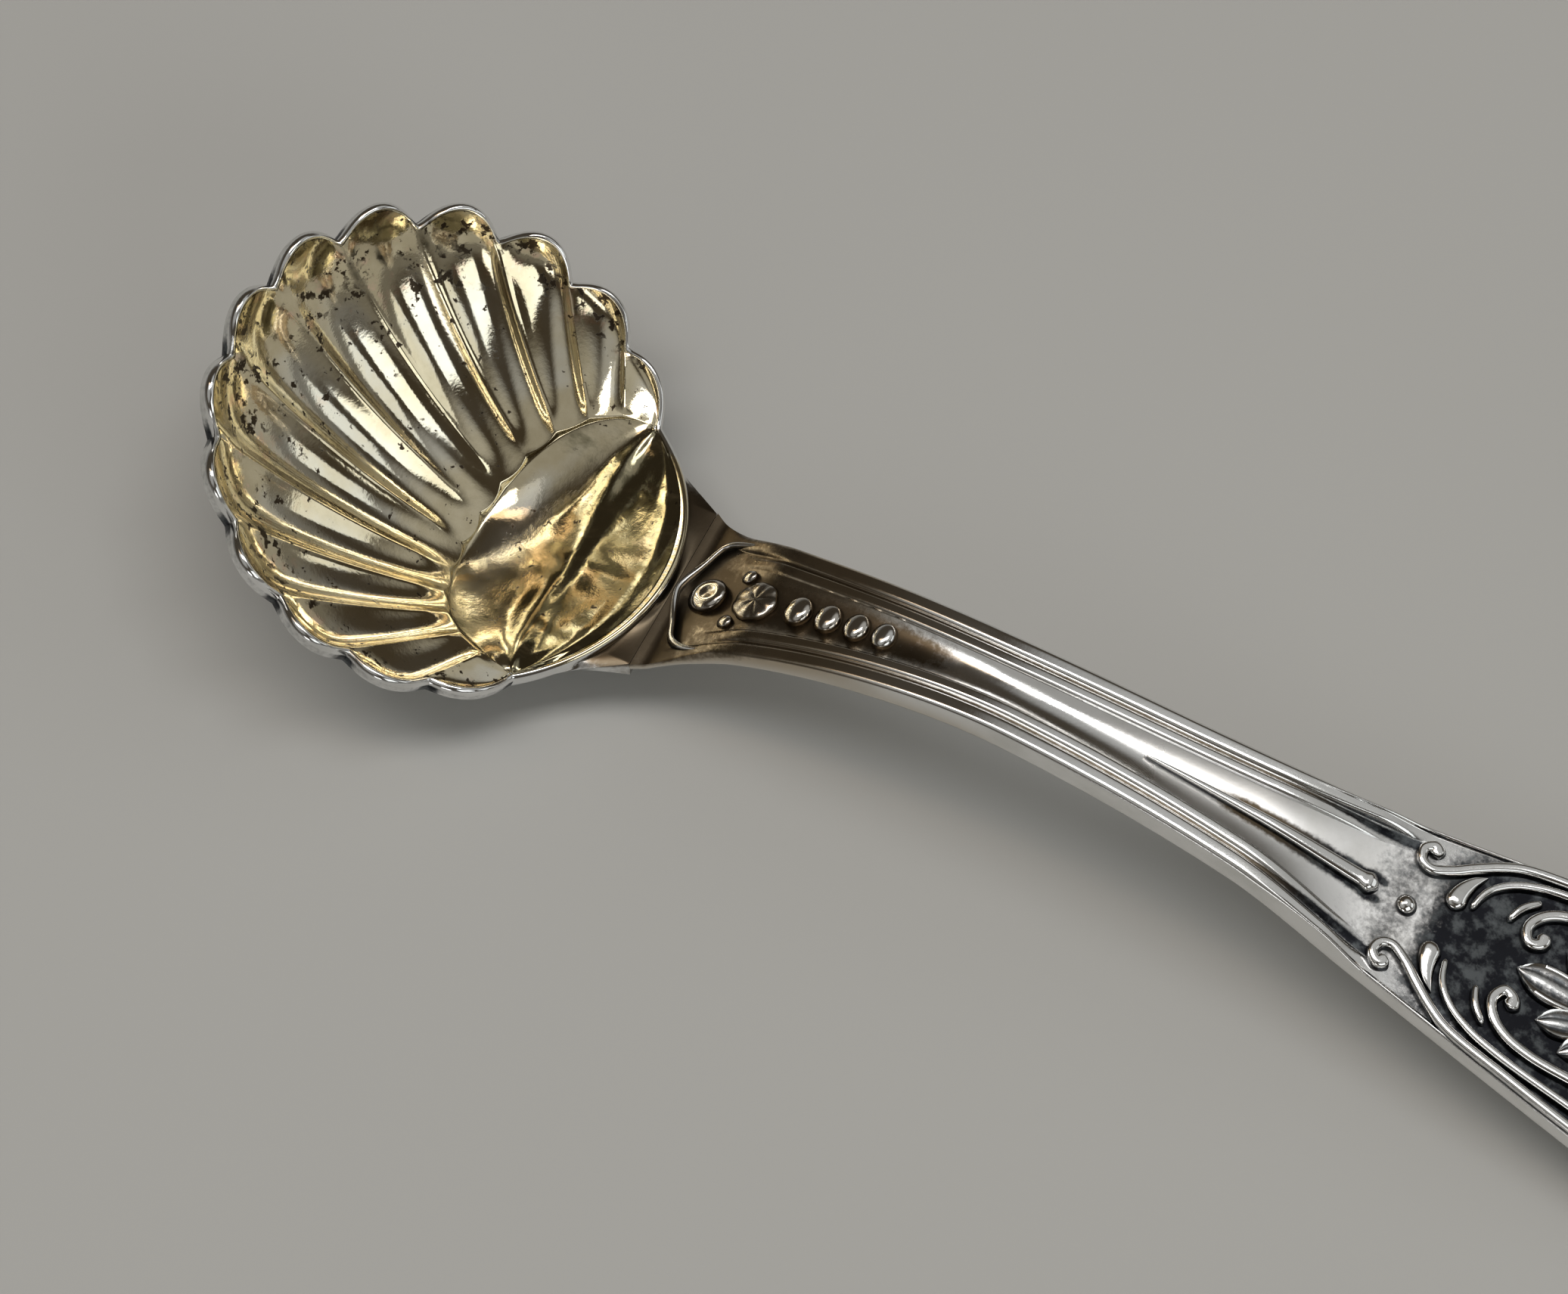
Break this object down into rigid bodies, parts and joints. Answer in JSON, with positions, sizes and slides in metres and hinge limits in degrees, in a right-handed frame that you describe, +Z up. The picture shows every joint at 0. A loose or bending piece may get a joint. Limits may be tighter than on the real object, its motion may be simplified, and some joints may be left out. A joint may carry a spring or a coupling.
{
  "type": "salt spoon",
  "caption": "Small salt spoon with a gold-washed scallop-shell bowl and an arched silver handle with reeded edges and applied pearls, scrolls and leaves",
  "frame": {"origin": "middle of the spoon's length and width, on the surface it rests on", "axes": "+X along the spoon from the bowl to the tip of the handle, +Y to the left of that direction, +Z up"},
  "size_m": [0.0822, 0.022, 0.0127],
  "materials": {
    "silver": "polished silver, slightly worn",
    "darkened_silver": "satin silver, oxidised dark in the sunk ground",
    "gilding": "polished gold wash, worn to silver in places"
  },
  "bodies": {
    "root": {"bowl_shell": "silver", "bowl_gilding": "gilding", "handle_shank": "darkened_silver", "centre_rib": "silver", "curl_left": "silver", "curl_right": "silver", "drop_pearl_1": "silver", "drop_pearl_2": "silver", "drop_pearl_3": "silver", "drop_pearl_4": "silver", "hook_neck_left": "silver", "hook_neck_right": "silver", "hook_tip_left": "silver", "hook_tip_right": "silver", "inner_scroll_left": "silver", "inner_scroll_right": "silver", "neck_bar": "silver", "neck_leaf_1": "silver", "neck_leaf_2_left": "silver", "neck_leaf_2_right": "silver", "neck_leaf_3_left": "silver", "neck_leaf_3_right": "silver", "neck_palmette": "silver", "neck_pearl": "silver", "outer_scroll_left": "silver", "outer_scroll_right": "silver", "rib_pearl": "silver", "rosette": "silver", "side_pearl_left": "silver", "side_pearl_right": "silver", "spray_neck_left": "silver", "spray_neck_right": "silver", "spray_tip_left": "silver", "spray_tip_right": "silver", "tip_leaf_1": "silver", "tip_leaf_2_left": "silver", "tip_leaf_2_right": "silver", "tip_leaf_3_left": "silver", "tip_leaf_3_right": "silver", "tip_lobe_1": "silver", "tip_lobe_2_left": "silver", "tip_lobe_2_right": "silver", "tip_lobe_3_left": "silver", "tip_lobe_3_right": "silver", "tip_pearl": "silver"}
  },
  "joints": []
}
